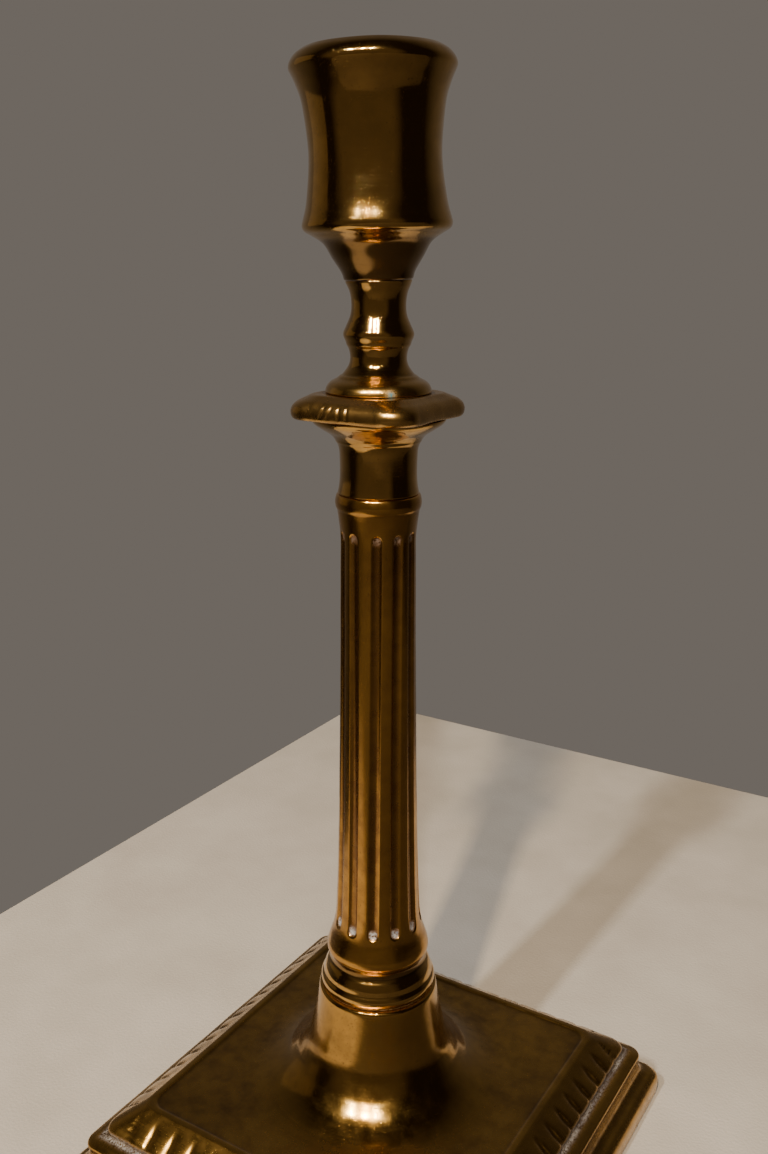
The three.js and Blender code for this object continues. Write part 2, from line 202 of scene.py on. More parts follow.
class RoundedSquare:
    """Sweeps a path of (half side, height) round a square with rounded corners.

    Under circle_below the sweep is a circle, and it turns into the square up to square_from.
    Columns within `straight` of the middle of a side keep their place along it."""

    def __init__(self, corner, straight, spacing, circle_below, square_from):
        self.corner = corner
        self.straight = straight
        self.circle_below = circle_below
        self.square_from = square_from
        self.middle = np.linspace(-straight, straight, 2 * round(straight / spacing) + 1)
        self.run = np.arange(1, RUN_POINTS + 1) / RUN_POINTS
        self.turn = np.arange(1, BEND_POINTS + 1) / BEND_POINTS * math.pi / 2
        reference = self.square(square_from)
        self.angles = np.arctan2(reference[:, 1], reference[:, 0])

    def square(self, half):
        flat = half - self.corner
        reach = flat - self.straight
        side = [(half, s) for s in self.middle]
        side += [(half, self.straight + reach * t) for t in self.run]
        bend = self.corner
        side += [(flat + bend * math.cos(b), flat + bend * math.sin(b)) for b in self.turn]
        side += [(flat - reach * t, half) for t in self.run[:-1]]
        quarter = np.array(side)
        turned = [quarter]
        for _ in range(3):
            last = turned[-1]
            turned.append(np.stack([-last[:, 1], last[:, 0]], -1))
        return np.concatenate(turned)

    def circle(self, radius):
        return radius * np.stack([np.cos(self.angles), np.sin(self.angles)], -1)

    def ring(self, half):
        if half >= self.square_from:
            return self.square(half)
        if half <= self.circle_below:
            return self.circle(half)
        share = (half - self.circle_below) / (self.square_from - self.circle_below)
        inner = self.circle(self.circle_below)
        return inner + (self.square(self.square_from) - inner) * share

    def sweep(self, path):
        rings = []
        for half, height in path:
            flat = self.ring(half)
            rings.append(np.column_stack([flat, np.full(len(flat), height)]))
        return np.array(rings)


def off_axis(rings):
    """How far each point is from the column's axis."""
    return np.hypot(rings[..., 0], rings[..., 1])


def normals(rings):
    """Unit vectors out of the surface at each point of the rings."""
    up = np.roll(rings, -1, 0) - np.roll(rings, 1, 0)
    round_it = np.roll(rings, -1, 1) - np.roll(rings, 1, 1)
    out = np.cross(round_it, up)
    return out / np.maximum(np.linalg.norm(out, axis=-1, keepdims=True), 1e-9)


def cavity(rings):
    """How deep each point lies in a hollow of the outline, in mm; below zero on an edge."""
    smooth = rings
    for _ in range(CAVITY_REACH):
        smooth = (np.roll(smooth, 1, 0) + 2 * smooth + np.roll(smooth, -1, 0)) / 4
    return ((smooth - rings) * normals(rings)).sum(-1)


def rough_cast(rings, amount, size, seed):
    """The rings with the unevenness of a piece finished by hand: swells `size` mm across and up
    to `amount` mm high. The seed is where in the noise they are read."""
    out = normals(rings)
    rows, columns = rings.shape[:2]
    push = np.empty((rows, columns))
    for i in range(rows):
        for j in range(columns):
            x, y, z = rings[i, j] / size
            push[i, j] = noise.noise(Vector((x + seed, y, z)))
    return rings + out * (push * amount)[..., None]


def smoothstep(low, high, value):
    t = np.clip((value - low) / (high - low), 0, 1)
    return t * t * (3 - 2 * t)


# ---- Meshes -----------------------------------------------------------------------------


def skin(name, rings, on_axis=False, **masks):
    """A mesh object of closed rings of points in mm, with a named mask value at each point.

    The last ring joins the first, or with on_axis the first and last are points on the axis."""
    rows, columns = rings.shape[:2]
    index = np.arange(rows * columns).reshape(rows, columns)
    if on_axis:
        index[0] = index[0, 0]
        index[-1] = index[-1, 0]
    right = np.roll(index, -1, 1)
    above, above_right = np.roll(index, -1, 0), np.roll(right, -1, 0)
    quads = np.stack([index, right, above_right, above], -1)
    if on_axis:
        quads = quads[:-1]
    quads = quads.reshape(-1, 4)
    used, flat = np.unique(quads, return_inverse=True)
    faces = []
    for face in flat.reshape(-1, 4).tolist():
        corners = [v for i, v in enumerate(face) if v != face[i - 1]]
        faces.append(corners)
    mesh = bpy.data.meshes.new(name)
    mesh.from_pydata((rings.reshape(-1, 3)[used] * MM).tolist(), [], faces)
    for mask in ("residue", "rubbed", "verdigris"):
        masks.setdefault(mask, np.zeros((rows, columns)))
    masks["cavity"] = cavity(rings) + masks.get("cavity", 0)
    for mask, values in masks.items():
        layer = mesh.attributes.new(mask, "FLOAT", "POINT")
        layer.data.foreach_set("value", values.reshape(-1)[used].astype(np.float32))
    mesh.shade_smooth()
    made = bpy.data.objects.new(name, mesh)
    bpy.context.scene.collection.objects.link(made)
    return made


def stand_for(made, node, material):
    made.data.materials.append(material)
    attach(made, "root")
    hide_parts(node)
    return made


# ---- Materials --------------------------------------------------------------------------

WAX = 0.3  # weight of the thin film of wax on brass
WAX_ROUGHNESS = 0.05

FLECK = (0.05, 0.028, 0.012, 1)
RESIDUE_BLUE = (0.14, 0.15, 0.19, 1)
RESIDUE_WHITE = (0.38, 0.39, 0.41, 1)
VERDIGRIS_COLOR = (0.05, 0.2, 0.26, 1)
RUST = (0.11, 0.045, 0.018, 1)
CLOTH_DULL = (0.52, 0.485, 0.44, 1)
CLOTH_PALE = (0.59, 0.555, 0.51, 1)
CLOTH_PAINTED_SHADE = (0.035, 0.03, 0.025, 1)  # painted shade: the colour the brass sees in the cloth far from the object and on its shaded side
PAINTED_SHADE_REACH = (190.0, 320.0)  # mm from the object where that painted shade begins and where it is full
SHADE_STARTS = (40.0, 70.0)  # mm towards the shaded side where that painted shade begins and where it is full


class Nodes:
    """The node tree of a material or a world, filled by calls that give each node's output."""

    def __init__(self, owner):
        self.owner = owner
        owner.use_nodes = True
        self.tree = owner.node_tree
        self.tree.nodes.clear()

    def add(self, kind, output=0, props=None, **inputs):
        node = self.tree.nodes.new(kind)
        for name, value in (props or {}).items():
            setattr(node, name, value)
        for name, value in inputs.items():
            key = int(name[1:]) if name[0] == "_" else name.replace("_", " ")
            if isinstance(value, bpy.types.NodeSocket):
                self.tree.links.new(value, node.inputs[key])
            else:
                node.inputs[key].default_value = value
        return node.outputs[output] if node.outputs else None

    def math(self, operation, a, b=0.0, clamp=False):
        props = {"operation": operation, "use_clamp": clamp}
        return self.add("ShaderNodeMath", props=props, _0=a, _1=b)

    def place(self, x, y, z):
        """Object coordinates in mm, stretched by a factor along each axis."""
        where = self.add("ShaderNodeTexCoord", output="Object")
        factors = (x / MM, y / MM, z / MM)
        return self.add("ShaderNodeVectorMath", props={"operation": "MULTIPLY"}, _0=where, _1=factors)

    def dot(self, a, b):
        """How far the vector a reaches along b."""
        props = {"operation": "DOT_PRODUCT"}
        return self.add("ShaderNodeVectorMath", output="Value", props=props, _0=a, _1=b)

    def noise(self, where, scale, detail=3.0, roughness=0.55):
        return self.add(
            "ShaderNodeTexNoise", Vector=where, Scale=scale, Detail=detail, Roughness=roughness
        )

    def spread(self, value, low, high, to_low=0.0, to_high=1.0):
        """The value's range from low to high laid on the range from to_low to to_high."""
        return self.add("ShaderNodeMapRange", _0=value, _1=low, _2=high, _3=to_low, _4=to_high)

    def mask(self, name):
        return self.add("ShaderNodeAttribute", output="Fac", props={"attribute_name": name})

    def mix(self, share, a, b, blend="MIX"):
        props = {"data_type": "RGBA", "blend_type": blend}
        return self.add("ShaderNodeMix", output=2, props=props, _0=share, _6=a, _7=b)

    def ramp(self, value, *stops):
        """The colour at this value between two stops, each a value and its colour."""
        color = self.add("ShaderNodeValToRGB", _0=value)
        elements = color.node.color_ramp.elements
        for i, (position, color_there) in enumerate(stops):
            elements[i].position = position
            elements[i].color = color_there
        return color

    def bump(self, height, depth, normal=None):
        inputs = {"Height": height, "Distance": depth, "Strength": 1.0}
        if normal is not None:
            inputs["Normal"] = normal
        return self.add("ShaderNodeBump", **inputs)

    def finish(self, color, roughness, normal, metallic=1.0, waxed=0.0):
        shader = self.add(
            "ShaderNodeBsdfPrincipled",
            Base_Color=color,
            Roughness=roughness,
            Normal=normal,
            Metallic=metallic,
            Coat_Weight=waxed,
            Coat_Roughness=WAX_ROUGHNESS,
        )
        self.add("ShaderNodeOutputMaterial", Surface=shader)
        return self.owner


def brass(name, bright, dull, polish, tarnish, uneven, scratched, grain):
    """Aged brass. polish is its roughness where it is clean, tarnish how much of it is dull, uneven
    and scratched the depths in mm of its dents and of its fine marks, and grain the stretch of
    those marks along X, Y and Z. The mask "rubbed" is above zero where a cloth keeps the brass
    bright and smooth, and below zero where it is rougher."""
    n = Nodes(bpy.data.materials.new(name))
    even = n.place(1, 1, 1)
    clouds = n.noise(even, 0.055, detail=4.0)
    smudges = n.noise(even, 0.3, detail=5.0)
    specks = n.noise(even, 2.4, detail=2.0)
    marks = n.noise(n.place(*grain), 1.0, roughness=0.6)
    rubbed = n.mask("rubbed")
    hollow = n.spread(n.mask("cavity"), 0.0, 0.2)
    edge = n.spread(n.mask("cavity"), 0.0, -0.14)
    stain = n.math("ADD", n.spread(clouds, 0.35, 0.7), n.spread(smudges, 0.38, 0.72))
    stain = n.math("MULTIPLY", stain, n.spread(rubbed, 0.0, 1.0, tarnish, 0.6 * tarnish))
    stain = n.math("ADD", stain, n.math("MULTIPLY", hollow, 0.8))
    stain = n.math("SUBTRACT", stain, n.math("MULTIPLY", edge, 0.35), clamp=True)
    color = n.mix(stain, bright, dull)
    fleck = n.math("MULTIPLY", n.spread(specks, 0.68, 0.75), 0.5)
    color = n.mix(fleck, color, FLECK)
    # White and blue-grey polish left in the hollows that a cloth doesn't reach.
    left = n.math("MULTIPLY", n.mask("residue"), n.spread(specks, 0.34, 0.54))
    tint = n.mix(n.spread(smudges, 0.4, 0.6), RESIDUE_BLUE, RESIDUE_WHITE)
    color = n.mix(left, color, tint)
    green = n.math("MULTIPLY", n.mask("verdigris"), n.spread(specks, 0.25, 0.5))
    color = n.mix(green, color, VERDIGRIS_COLOR)
    left = n.math("ADD", left, green, clamp=True)
    roughness = n.math("ADD", n.math("MULTIPLY", stain, 0.1), polish)
    roughness = n.math("SUBTRACT", roughness, n.math("MULTIPLY", rubbed, 0.1))
    roughness = n.math("ADD", roughness, n.spread(smudges, 0.35, 0.75, 0.0, 0.4 * polish))
    roughness = n.math("ADD", roughness, n.spread(marks, 0.3, 0.7, -0.01, 0.02))
    roughness = n.math("ADD", roughness, n.math("MULTIPLY", left, 0.5), clamp=True)
    metallic = n.math("SUBTRACT", 1.0, n.math("MULTIPLY", left, 0.95))
    waves = n.bump(n.noise(n.place(1, 1, 0.35), 0.17, detail=1.5), 0.08 * MM)
    dents = n.bump(n.noise(even, 0.7, detail=2.0), uneven * MM, waves)
    scratches = n.bump(marks, scratched * MM, dents)
    pits = n.bump(n.spread(specks, 0.64, 0.8, 1.0, 0.0), 0.02 * MM, scratches)
    return n.finish(color, roughness, pits, metallic, waxed=WAX)


def iron(name, bright, dull, rough):
    """Dark wrought iron or steel, dry and a little rusty."""
    n = Nodes(bpy.data.materials.new(name))
    even = n.place(1, 1, 1)
    blotches = n.noise(even, 0.35, detail=5.0, roughness=0.65)
    grit = n.noise(even, 3.5)
    color = n.mix(n.spread(blotches, 0.4, 0.62), bright, dull)
    rust = n.math("MULTIPLY", n.spread(blotches, 0.58, 0.72), 0.8)
    color = n.mix(rust, color, RUST)
    roughness = n.spread(grit, 0.3, 0.7, rough - 0.08, rough + 0.12)
    metallic = n.spread(rust, 0.0, 1.0, 0.95, 0.3)
    return n.finish(color, roughness, n.bump(grit, 0.03 * MM), metallic)


def cloth(name):
    """Plain pale cloth for the floor, painted dark in the brass's reflections far from the object and
    on its shaded side.
    """
    n = Nodes(bpy.data.materials.new(name))
    even = n.place(1, 1, 1)
    mottle = n.noise(even, 0.03, detail=4.0)
    weave = n.noise(even, 1.2)
    color = n.mix(n.spread(mottle, 0.35, 0.65), CLOTH_DULL, CLOTH_PALE)
    # Painted shade: in reflections only, the cloth is painted dark far from the object and on its
    # shaded side, so the brass shows it pale only near the object.
    away = n.add("ShaderNodeVectorMath", output="Value", props={"operation": "LENGTH"}, _0=even)
    shaded = n.dot(even, towards(CAMERA_AZIMUTH + SHADED_SIDE))
    beyond = n.math(
        "ADD", n.spread(away, *PAINTED_SHADE_REACH), n.spread(shaded, *SHADE_STARTS), clamp=True
    )
    mirrored = n.add("ShaderNodeLightPath", output="Is Glossy Ray")
    color = n.mix(n.math("MULTIPLY", beyond, mirrored), color, CLOTH_PAINTED_SHADE)
    return n.finish(color, n.spread(weave, 0.3, 0.7, 0.85, 0.95), n.bump(weave, 0.15 * MM), 0.0)


# How many marks there are to a mm along X, Y and Z.
LATHE_MARKS = (0.05, 0.05, 5.0)
DRAWN_MARKS = (3.0, 3.0, 0.08)
CAST_MARKS = (1.6, 1.6, 1.6)

polished = brass(
    "polished_brass",
    bright=(0.66, 0.395, 0.11, 1),
    dull=(0.25, 0.145, 0.045, 1),
    polish=0.075,
    tarnish=0.3,
    uneven=0.004,
    scratched=0.002,
    grain=LATHE_MARKS,
)
satin = brass(
    "satin_brass",
    bright=(0.6, 0.36, 0.11, 1),
    dull=(0.22, 0.125, 0.04, 1),
    polish=0.21,
    tarnish=0.45,
    uneven=0.01,
    scratched=0.003,
    grain=CAST_MARKS,
)
fluted = brass(
    "fluted_brass",
    bright=(0.66, 0.36, 0.075, 1),
    dull=(0.24, 0.115, 0.03, 1),
    polish=0.15,
    tarnish=0.4,
    uneven=0.006,
    scratched=0.003,
    grain=DRAWN_MARKS,
)
foot_brass = brass(
    "foot_brass",
    bright=(0.54, 0.31, 0.07, 1),
    dull=(0.17, 0.095, 0.025, 1),
    polish=0.2,
    tarnish=0.5,
    uneven=0.008,
    scratched=0.003,
    grain=LATHE_MARKS,
)
dark_iron = iron("dark_iron", (0.16, 0.145, 0.13, 1), (0.055, 0.05, 0.045, 1), 0.5)
old_steel = iron("old_steel", (0.36, 0.35, 0.33, 1), (0.16, 0.15, 0.14, 1), 0.38)


# ---- Candle socket and its screw --------------------------------------------------------


def lean_matrix():
    """How the socket leans about the centre of the joint under it, read from its node's box."""
    hinge = Vector((0, 0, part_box("knop_neck")[1].z))
    low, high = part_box("candle_socket")
    shift = (low + high) / 2
    shift.z = 0
    angle = math.atan(shift.length / (RIM_HEIGHT * MM - hinge.z))
    axis = Vector((0, 0, 1)).cross(shift)
    return Matrix.Translation(hinge) @ Matrix.Rotation(angle, 4, axis) @ Matrix.Translation(-hinge)


def candle_socket():
    base = 215.1
    screw_hole = SCREW_RADIUS + 0.5
    well = SCREW_HEAD + 0.55
    well_floor = CANDLE_SEAT - SCREW_HEAD_THICK - 0.6
    path = trace(
        (screw_hole, base),
        line(7.2, base),
        curve((7.75, 216.8), (9.5, 219.6), (11.2, 222.5), (13.7, 224.2)),
        curve((15.0, 224.9), (15.5, 225.6), (15.6, 226.3)),
        curve((14.4, 231.2), (13.55, 239.8), (14.4, 248.6), (15.6, 252.8), (16.9, 255.7)),
        curve((16.75, 256.7), (15.8, 258.1), (14.2, 259.2)),
        line(BORE + 0.6, 259.2),
        line(BORE, 258.6),
        line(BORE, CANDLE_SEAT),
        line(well, CANDLE_SEAT),
        line(well, well_floor),
        line(screw_hole, well_floor),
        line(screw_hole, base),
    )
    rings = revolve(path, even_angles())
    rings = rough_cast(rings, amount=0.09, size=9.0, seed=3.0)
    inside = smoothstep(BORE + 2.0, BORE, off_axis(rings))
    made = skin("socket_shell", rings, cavity=0.25 * inside)
    made.data.transform(lean_matrix())
    return made


def socket_screw():
    top = CANDLE_SEAT - 0.3
    head = top - SCREW_HEAD_THICK
    path = trace(
        (0, SCREW_LOW),
        line(SCREW_RADIUS - 0.6, SCREW_LOW),
        line(SCREW_RADIUS, SCREW_LOW + 0.6),
        line(SCREW_RADIUS, head),
        line(SCREW_HEAD, head),
        line(SCREW_HEAD, top - 0.7),
        curve((SCREW_HEAD - 0.5, top - 0.3), (2.2, top - 0.05), (0, top)),
    )
    path = lay_on(path, "socket_screw")
    angles = even_angles(96)
    rings = revolve(path, angles)
    across = np.abs(rings[..., 1])
    floor = top - SLOT_DEPTH
    cut = smoothstep(SLOT_WIDTH / 2 + 0.12, SLOT_WIDTH / 2 - 0.12, across)
    on_top = rings[..., 2] > floor
    rings[..., 2] = np.where(on_top, rings[..., 2] + (floor - rings[..., 2]) * cut, rings[..., 2])
    return skin("screw_body", rings, on_axis=True)


# ---- Neck, pan and capital --------------------------------------------------------------


def verdigris(rings):
    """How green each point is."""
    away = np.linalg.norm(rings - np.array(VERDIGRIS), axis=-1)
    return np.exp(-((away / VERDIGRIS_SIZE) ** 2))


def knop_neck():
    base, top = 191.9, 214.8
    hole = THREAD_HOLE
    rod_top, screw_base, screw_hole = 201.5, 206.0, 2.7
    path = trace(
        (0, rod_top),
        line(hole, rod_top),
        line(hole, base),
        line(11.4, base),
        curve((11.15, 193.0), (10.35, 194.1), (8.7, 195.0)),
        line(8.2, 195.5),
        line(7.7, 195.7),
        curve((6.35, 197.6), (6.0, 199.3), (6.3, 201.0), (6.8, 201.9)),
        line(6.9, 202.4),
        curve((7.5, 204.1), (6.8, 205.9), (5.95, 208.0), (5.74, 210.2), (6.1, 212.7), (7.1, top)),
        line(screw_hole, top),
        line(screw_hole, screw_base),
        line(0, screw_base),
    )
    rings = revolve(lay_on(path, "knop_neck"), even_angles())
    x, y, z = np.moveaxis(rings, -1, 0)
    # The neck's upper face follows the base of the leaning socket.
    slope = lean_matrix()[2]
    meets = smoothstep(top - 1.2, top - 0.1, z)
    rings[..., 2] = z + meets * (slope[0] * x + slope[1] * y + LEAN_SEAM)
    on_dome = smoothstep(196.4, 195.2, z)
    green = verdigris(rings)
    rings = rough_cast(rings, amount=0.04, size=6.0, seed=11.0)
    return skin("neck_body", rings, on_axis=True, rubbed=-on_dome, verdigris=green)


def drip_pan():
    low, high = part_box("drip_pan")
    base, top, half = low.z / MM, high.z / MM, high.x / MM
    path = trace(
        (SPIGOT_HOLE, base),
        line(half - 0.6, base),
        curve((half - 0.15, base + 0.6), (half, base + 1.9), (half - 0.3, base + 3.0)),
        curve((half - 1.1, top - 1.3), (half - 2.3, top - 0.6), (half - 3.3, top)),
        curve((9.0, top), (SPIGOT_HOLE, top), step=0.4),
        line(SPIGOT_HOLE, base),
    )
    square = RoundedSquare(
        PAN_CORNER, straight=5.8, spacing=0.22, circle_below=SPIGOT_HOLE, square_from=12.0
    )
    rings = rough_cast(square.sweep(path), amount=0.12, size=7.0, seed=23.0)
    # Four small nicks in the outer edge of the rim on one side.
    x, y, z = np.moveaxis(rings, -1, 0)
    band = smoothstep(base + 0.6, base + 1.4, z) * smoothstep(base + 3.6, base + 2.8, z)
    front = smoothstep(half - 1.6, half - 0.9, -y) * band
    nicks = np.zeros(x.shape)
    for place, slant in NICKS:
        offset = x - place - slant * (z - base - 2)
        nicks += np.exp(-((offset / NICK_WIDTH) ** 2)) * front
    rings = rings - normals(rings) * (NICK_DEPTH * nicks)[..., None]
    ring_radius = off_axis(rings)
    joint = np.exp(-(((ring_radius - DOME_SEAM) / 0.5) ** 2)) * (z > top - 0.8)
    green = verdigris(rings)
    return skin("pan_body", rings, cavity=0.1 * nicks + 0.15 * joint, verdigris=green)


def capital():
    spigot_low, low, pan, spigot_top = 165.0, 170.1, 186.5, 190.5
    path = trace(
        (ROD_HOLE, spigot_low),
        line(SPIGOT, spigot_low),
        line(SPIGOT, low),
        line(8.9, low),
        curve((8.55, 171.8), (8.36, 174.2), (8.4, 177.9), (8.55, 180.0), (8.95, 181.2)),
        line(9.3, 181.6),
        line(9.4, 182.0),
        curve((10.4, 183.1), (12.5, 184.4), (14.0, 185.5), (14.6, pan)),
        line(SPIGOT, pan),
        line(SPIGOT, spigot_top),
        line(ROD_HOLE, spigot_top),
        line(ROD_HOLE, spigot_low),
    )
    rings = revolve(lay_on(path, "capital"), even_angles())
    return skin("capital_body", rough_cast(rings, amount=0.06, size=6.0, seed=31.0))


# ---- Fluted column ----------------------------------------------------------------------


def flute_angles(heights):
    """Angles of the columns of points at each height, which follow the flutes, and how far each
    column is from its flute's middle, in mm."""
    across = np.linspace(-FLUTE_BAND, FLUTE_BAND, FLUTE_COLUMNS)
    share = np.clip((heights - FLUTE_LOW) / (FLUTE_HIGH - FLUTE_LOW), 0, 1)
    centres = []
    for i in range(FLUTES + 1):
        foot, head = STRAY_FOOT[i % FLUTES], STRAY_HEAD[i % FLUTES]
        centres.append(np.radians(FLUTE_PHASE + 360 / FLUTES * i + foot + (head - foot) * share))
    radius = np.interp(heights, SHAFT_HEIGHTS, SHAFT_RADII)
    columns, offsets = [], []
    for here, after in zip(centres, centres[1:]):
        for offset in across:
            columns.append(here + offset / radius)
            offsets.append(np.full(len(heights), offset))
        start, end = here + across[-1] / radius, after + across[0] / radius
        for t in np.arange(1, LAND_COLUMNS + 1) / (LAND_COLUMNS + 1):
            columns.append(start + (end - start) * t)
            offsets.append(np.full(len(heights), NO_FLUTE))
    return np.array(columns).T, np.array(offsets).T


def column_shaft():
    low, high = 57.2, 170.0
    path = trace(
        (SHAFT_BORE, low),
        line(12.15, low),
        line(12.35, 57.7),
        curve((12.25, 58.9), (11.7, 60.7), (10.85, 63.2), (10.35, 65.9), (10.05, 69.0)),
        curve((9.62, 80.0), (9.12, 101.0), (8.68, 131.0), (8.44, 156.0), step=1.6),
        curve((8.42, 160.8), (8.8, 164.6), (9.1, 166.6)),
        line(9.4, 167.1),
        curve((9.55, 168.2), (9.4, 169.3)),
        line(9.2, high),
        line(SHAFT_BORE, high),
        line(SHAFT_BORE, low),
    )
    path = lay_on(path, "column_shaft")
    angles, offsets = flute_angles(path[:, 1])
    rings = rough_cast(revolve(path, angles), amount=0.04, size=7.0, seed=41.0)
    height = rings[..., 2]
    beyond = np.maximum(np.maximum(height - FLUTE_HIGH, FLUTE_LOW - height), 0)
    distance = np.hypot(offsets, beyond)
    tool = np.interp(height, [FLUTE_LOW, FLUTE_HIGH], FLUTE_TOOLS)
    reach = np.sqrt(np.maximum(tool**2 - distance**2, 0)) - tool + FLUTE_DEPTH
    depth = (reach + np.sqrt(reach**2 + FLUTE_EDGE**2)) / 2
    outside = path[:, :1] > SHAFT_BORE + 1
    depth = np.where(outside & (distance < tool), depth, 0)
    rings = rings - normals(rings) * depth[..., None]
    to_end = np.minimum(np.abs(height - FLUTE_LOW + 0.2), np.abs(height - FLUTE_HIGH - 0.2))
    in_end = smoothstep(1.7, 0.5, to_end) * smoothstep(0.22, 0.46, depth)
    left = in_end * np.interp(height, [FLUTE_LOW, FLUTE_HIGH], [1, 0.35])
    return skin("shaft_body", rings, cavity=0.2 * depth + 0.2 * in_end, residue=left)


def shaft_collar():
    spigot_low, low, high, spigot_top = 43.6, 47.7, 57.1, 61.1
    path = trace(
        (ROD_HOLE, spigot_low),
        line(SPIGOT, spigot_low),
        line(SPIGOT, low),
        line(13.2, low),
        curve((13.75, 48.3), (13.95, 49.2), (13.85, 50.1), (13.5, 50.8)),
        line(13.3, 51.0),
        curve((12.95, 52.5), (12.3, 53.9)),
        line(11.95, 54.3),
        curve((11.6, 55.1), (11.55, 56.2), (11.85, high)),
        line(SPIGOT, high),
        line(SPIGOT, spigot_top),
        line(ROD_HOLE, spigot_top),
        line(ROD_HOLE, spigot_low),
    )
    rings = revolve(lay_on(path, "shaft_collar"), even_angles())
    rings = rough_cast(rings, amount=0.06, size=7.0, seed=53.0)
    height = rings[..., 2]
    radius = off_axis(rings)
    under = smoothstep(low + 0.9, low + 0.2, height) * (radius > SPIGOT + 1)
    tarnish = smoothstep(54.2, 55.2, height)
    return skin("collar_body", rings, cavity=0.25 * tarnish, residue=under)


# ---- Foot -------------------------------------------------------------------------------


def foot_path():
    top, ceiling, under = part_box("foot")[1].z / MM, 42.0, PLATE_TOP - 3.5
    return trace(
        (SPIGOT_HOLE, ceiling),
        line(11.4, ceiling),
        curve((12.9, 35.6), (15.4, 28.2), (19.4, 22.6), (24.6, 19.1), (31.0, under), step=1.2),
        line(BORDER_HALF - 8.2, under),
        line(BORDER_HALF - 3.3, 13.6),
        line(BORDER_HALF - 0.2, 9.0),
        line(PLINTH_HALF - 4, 4.4),
        line(PLINTH_HALF - 4, 0),
        line(PLINTH_HALF - 0.7, 0),
        line(PLINTH_HALF - 0.2, 0.6),
        curve((PLINTH_HALF, 3.6), (PLINTH_HALF - 0.3, 5.6), (PLINTH_HALF - 1.5, 7.0), step=0.4),
        line(PLINTH_HALF - 2.9, 7.4),
        curve((PLINTH_HALF - 4, 8.4), (BORDER_HALF + 3.4, 10.4), (BORDER_HALF + 3.3, 12.0), step=0.4),
        line(BORDER_HALF + 3.6, 12.4),
        line(BORDER_HALF + 3.4, 13.2),
        line(BORDER_HALF + 1.9, 13.9),
        line(BORDER_HALF + 0.2, 14.2),
        line(BORDER_HALF - 0.5, 14.8),
        line(BORDER_HALF, 15.6),
        curve((BORDER_HALF - 0.6, 16.7), (BORDER_HALF - 3.4, 18.8), (PLATE_HALF + 1.2, 21.3)),
        line(PLATE_HALF, PLATE_TOP + 0.4),
        line(PLATE_HALF - 0.65, PLATE_TOP),
        line(34.0, PLATE_TOP),
        curve((30.8, 21.3), (27.4, 22.3), (23.4, 24.5), (20.0, 27.9), step=0.6),
        curve((17.5, 32.2), (16.2, 36.8), (15.2, 42.0), (14.4, top - 0.3), step=0.7),
        line(14.1, top),
        line(SPIGOT_HOLE, top),
        line(SPIGOT_HOLE, ceiling),
    )


def lobes(rings):
    """How far each point of the border stands out, in mm, and how deep it is between lobes."""
    x, y, height = np.moveaxis(rings, -1, 0)
    half = np.maximum(np.abs(x), np.abs(y))
    along = np.where(np.abs(x) > np.abs(y), y, x)
    across = (half - PLATE_HALF) / (BORDER_HALF - PLATE_HALF)
    inside = (across > 0) & (height > 14.4) & (np.abs(along) < LOBES * LOBE_PITCH / 2)
    swell = smoothstep(0.25, 0.75, across)
    end = np.sqrt(np.clip(1 - (np.maximum(across - LOBE_END, 0) / 0.42) ** 2, 0, 1))
    phase = (along / LOBE_PITCH + LOBES / 2) % 1 - 0.5
    crown = np.sqrt(np.clip(1 - np.abs(2 * phase) ** 3, 0, 1))
    envelope = np.where(inside, swell * end, 0)
    return LOBE_HEIGHT * envelope * (crown - LOBE_SINK), envelope * (1 - crown)


def foot():
    square = RoundedSquare(
        FOOT_CORNER, straight=36.0, spacing=0.58, circle_below=34.0, square_from=PLATE_HALF - 0.7
    )
    rings = rough_cast(square.sweep(foot_path()), amount=0.1, size=14.0, seed=67.0)
    rings[..., 2] = np.maximum(rings[..., 2], 0)
    push, between = lobes(rings)
    rings = rings + normals(rings) * push[..., None]
    half = np.maximum(np.abs(rings[..., 0]), np.abs(rings[..., 1]))
    height = rings[..., 2]
    groove = np.exp(-(((half - BORDER_HALF - 0.1) / 0.8) ** 2)) * smoothstep(13.5, 14.2, height)
    groove = groove * smoothstep(16.6, 15.2, height)
    radius = off_axis(rings)
    on_bell = smoothstep(30.0, 24.0, radius) * (radius > SPIGOT_HOLE + 3)
    return skin(
        "foot_casting",
        rings,
        cavity=0.12 * between + 0.3 * groove,
        residue=0.75 * groove,
        rubbed=on_bell,
    )


# ---- Rod, washer and nut under the foot -------------------------------------------------


def cut_thread(rings, radius):
    """The rings with a thread of triangular section in their outer surface."""
    x, y, z = np.moveaxis(rings, -1, 0)
    phase = (z / THREAD_PITCH - np.arctan2(y, x) / (2 * math.pi)) % 1
    sink = THREAD_DEPTH * (1 - np.abs(2 * phase - 1))
    outer = np.hypot(x, y)
    shrink = np.where(outer > radius - 0.3, (outer - sink) / np.maximum(outer, 1e-6), 1)
    return np.stack([x * shrink, y * shrink, z], -1)


def tie_rod():
    low, high = (corner.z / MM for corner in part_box("tie_rod"))
    radius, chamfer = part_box("tie_rod")[1].x / MM, 0.7
    path = trace(
        (0, low),
        line(radius - chamfer, low),
        line(radius, low + chamfer),
        curve((radius, low + 11), step=0.12),
        line(radius, high - chamfer),
        line(radius - chamfer, high),
        line(0, high),
        passes=1,
    )
    rings = cut_thread(revolve(path, even_angles(64)), radius)
    return skin("rod_body", rings, on_axis=True)


def foot_washer():
    low, high = (corner.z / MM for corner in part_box("foot_washer"))
    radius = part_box("foot_washer")[1].x / MM
    path = trace(
        (ROD_HOLE, low),
        line(radius - 0.3, low),
        line(radius, low + 0.3),
        line(radius, high),
        line(ROD_HOLE, high),
        line(ROD_HOLE, low),
        passes=1,
    )
    rings = revolve(path, even_angles(96))
    return skin("washer_body", rough_cast(rings, amount=0.12, size=4.0, seed=71.0))


